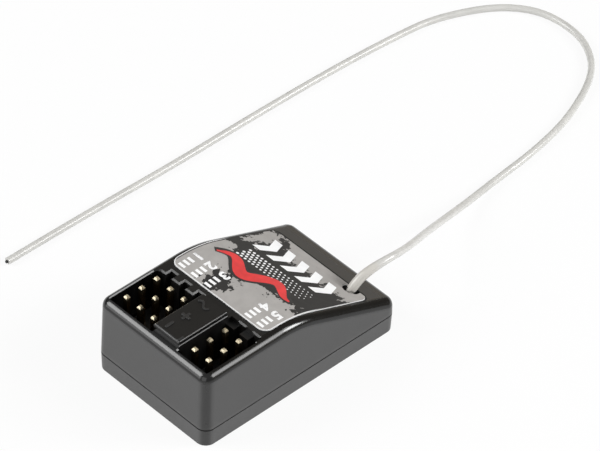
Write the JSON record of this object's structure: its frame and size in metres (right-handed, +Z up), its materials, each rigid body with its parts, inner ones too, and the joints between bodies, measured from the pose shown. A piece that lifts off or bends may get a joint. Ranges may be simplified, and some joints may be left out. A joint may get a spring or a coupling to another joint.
{
  "type": "rc receiver",
  "caption": "Radio control receiver: small two-part moulded case with keyed servo ports in two wells, printed label on a sloping roof, and one flexible wire aerial.",
  "frame": {"origin": "centre of the case's flat underside", "axes": "+X from the port end to the aerial end, +Y across the ports towards the wider bay, +Z up, out of the ports"},
  "size_m": [0.0928, 0.0427, 0.013],
  "materials": {
    "case_plastic": "moulded, half gloss",
    "label_film": "printed film",
    "board": "solder mask",
    "header_plastic": "moulded",
    "gold_pins": "gold flashed",
    "solder": "satin",
    "chip_resin": "moulded",
    "can_metal": "satin",
    "ferrite": "sintered",
    "ceramic": "fired",
    "lens": "clear resin",
    "aerial_jacket": "translucent sleeve"
  },
  "bodies": {
    "root": {"top_shell": "case_plastic", "bottom_shell": "case_plastic", "label": "label_film", "circuit_board": "board", "header_base_left": "header_plastic", "header_base_right": "header_plastic", "port_1_pins": "gold_pins", "port_2_pins": "gold_pins", "port_3_pins": "gold_pins", "port_4_pins": "gold_pins", "port_5_pins": "gold_pins", "pin_solder": "solder", "main_chip": "chip_resin", "radio_chip": "chip_resin", "gyro_sensor": "chip_resin", "crystal": "solder", "voltage_regulator": "chip_resin", "smoothing_capacitor": "can_metal", "filter_inductor": "ferrite", "status_led": "lens", "ceramic_capacitors": "ceramic", "resistors": "chip_resin", "aerial_lead": "aerial_jacket", "aerial_solder": "solder", "aerial_wire": "aerial_jacket"}
  },
  "joints": []
}
